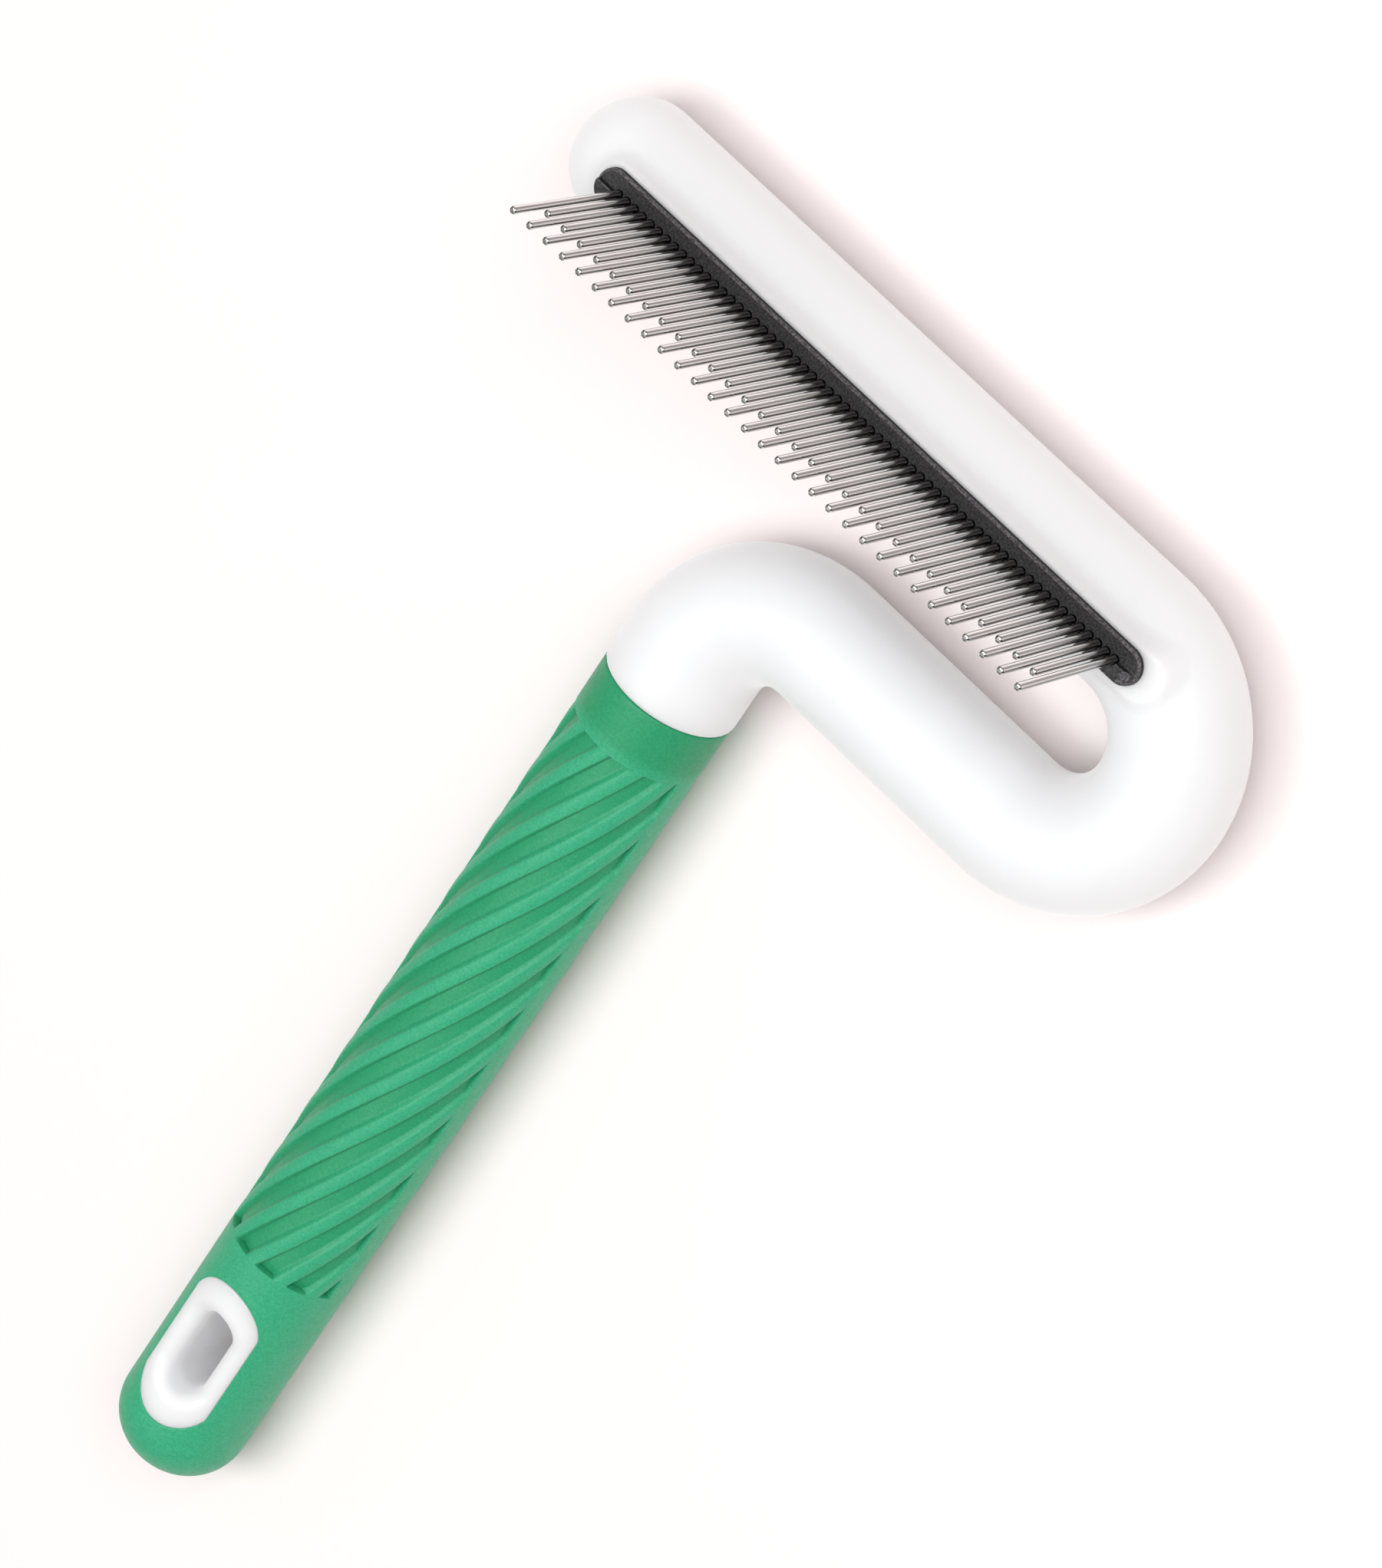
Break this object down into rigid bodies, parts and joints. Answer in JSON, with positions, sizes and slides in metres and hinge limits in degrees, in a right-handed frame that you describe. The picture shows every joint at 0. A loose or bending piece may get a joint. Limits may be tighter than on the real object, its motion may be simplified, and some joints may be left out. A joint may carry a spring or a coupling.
{
  "type": "deshedding tool",
  "caption": "Undercoat rake for pets: a row of alternating long and short steel pins on a bent tubular plastic frame with a ribbed soft grip and a hanging slot.",
  "frame": {"origin": "middle of the underside of the whole tool as it lies on its back, pins up", "axes": "+Z along the pins, away from the bar; +Y along the handle, from its free end towards the head; +X along the head bar, from its free end towards the U-turn"},
  "size_m": [0.1247, 0.2046, 0.044],
  "materials": {
    "white_plastic": "smooth satin moulded plastic",
    "green_rubber": "matte soft-touch, very fine grain",
    "black_plastic": "fine matte texture",
    "pin_steel": "polished stainless steel"
  },
  "bodies": {
    "root": {"frame": "white_plastic", "grip": "green_rubber", "pin_carrier": "black_plastic", "pin_retainer": "black_plastic", "long_pin_01": "pin_steel", "long_pin_02": "pin_steel", "long_pin_03": "pin_steel", "long_pin_04": "pin_steel", "long_pin_05": "pin_steel", "long_pin_06": "pin_steel", "long_pin_07": "pin_steel", "long_pin_08": "pin_steel", "long_pin_09": "pin_steel", "long_pin_10": "pin_steel", "long_pin_11": "pin_steel", "long_pin_12": "pin_steel", "long_pin_13": "pin_steel", "long_pin_14": "pin_steel", "long_pin_15": "pin_steel", "long_pin_16": "pin_steel", "long_pin_17": "pin_steel", "long_pin_18": "pin_steel", "long_pin_19": "pin_steel", "long_pin_20": "pin_steel", "long_pin_21": "pin_steel", "long_pin_22": "pin_steel", "long_pin_23": "pin_steel", "long_pin_24": "pin_steel", "long_pin_25": "pin_steel", "long_pin_26": "pin_steel", "long_pin_27": "pin_steel", "long_pin_28": "pin_steel", "long_pin_29": "pin_steel", "long_pin_30": "pin_steel", "long_pin_31": "pin_steel", "short_pins_01": "pin_steel", "short_pins_02": "pin_steel", "short_pins_03": "pin_steel", "short_pins_04": "pin_steel", "short_pins_05": "pin_steel", "short_pins_06": "pin_steel", "short_pins_07": "pin_steel", "short_pins_08": "pin_steel", "short_pins_09": "pin_steel", "short_pins_10": "pin_steel", "short_pins_11": "pin_steel", "short_pins_12": "pin_steel", "short_pins_13": "pin_steel", "short_pins_14": "pin_steel", "short_pins_15": "pin_steel"}
  },
  "joints": []
}
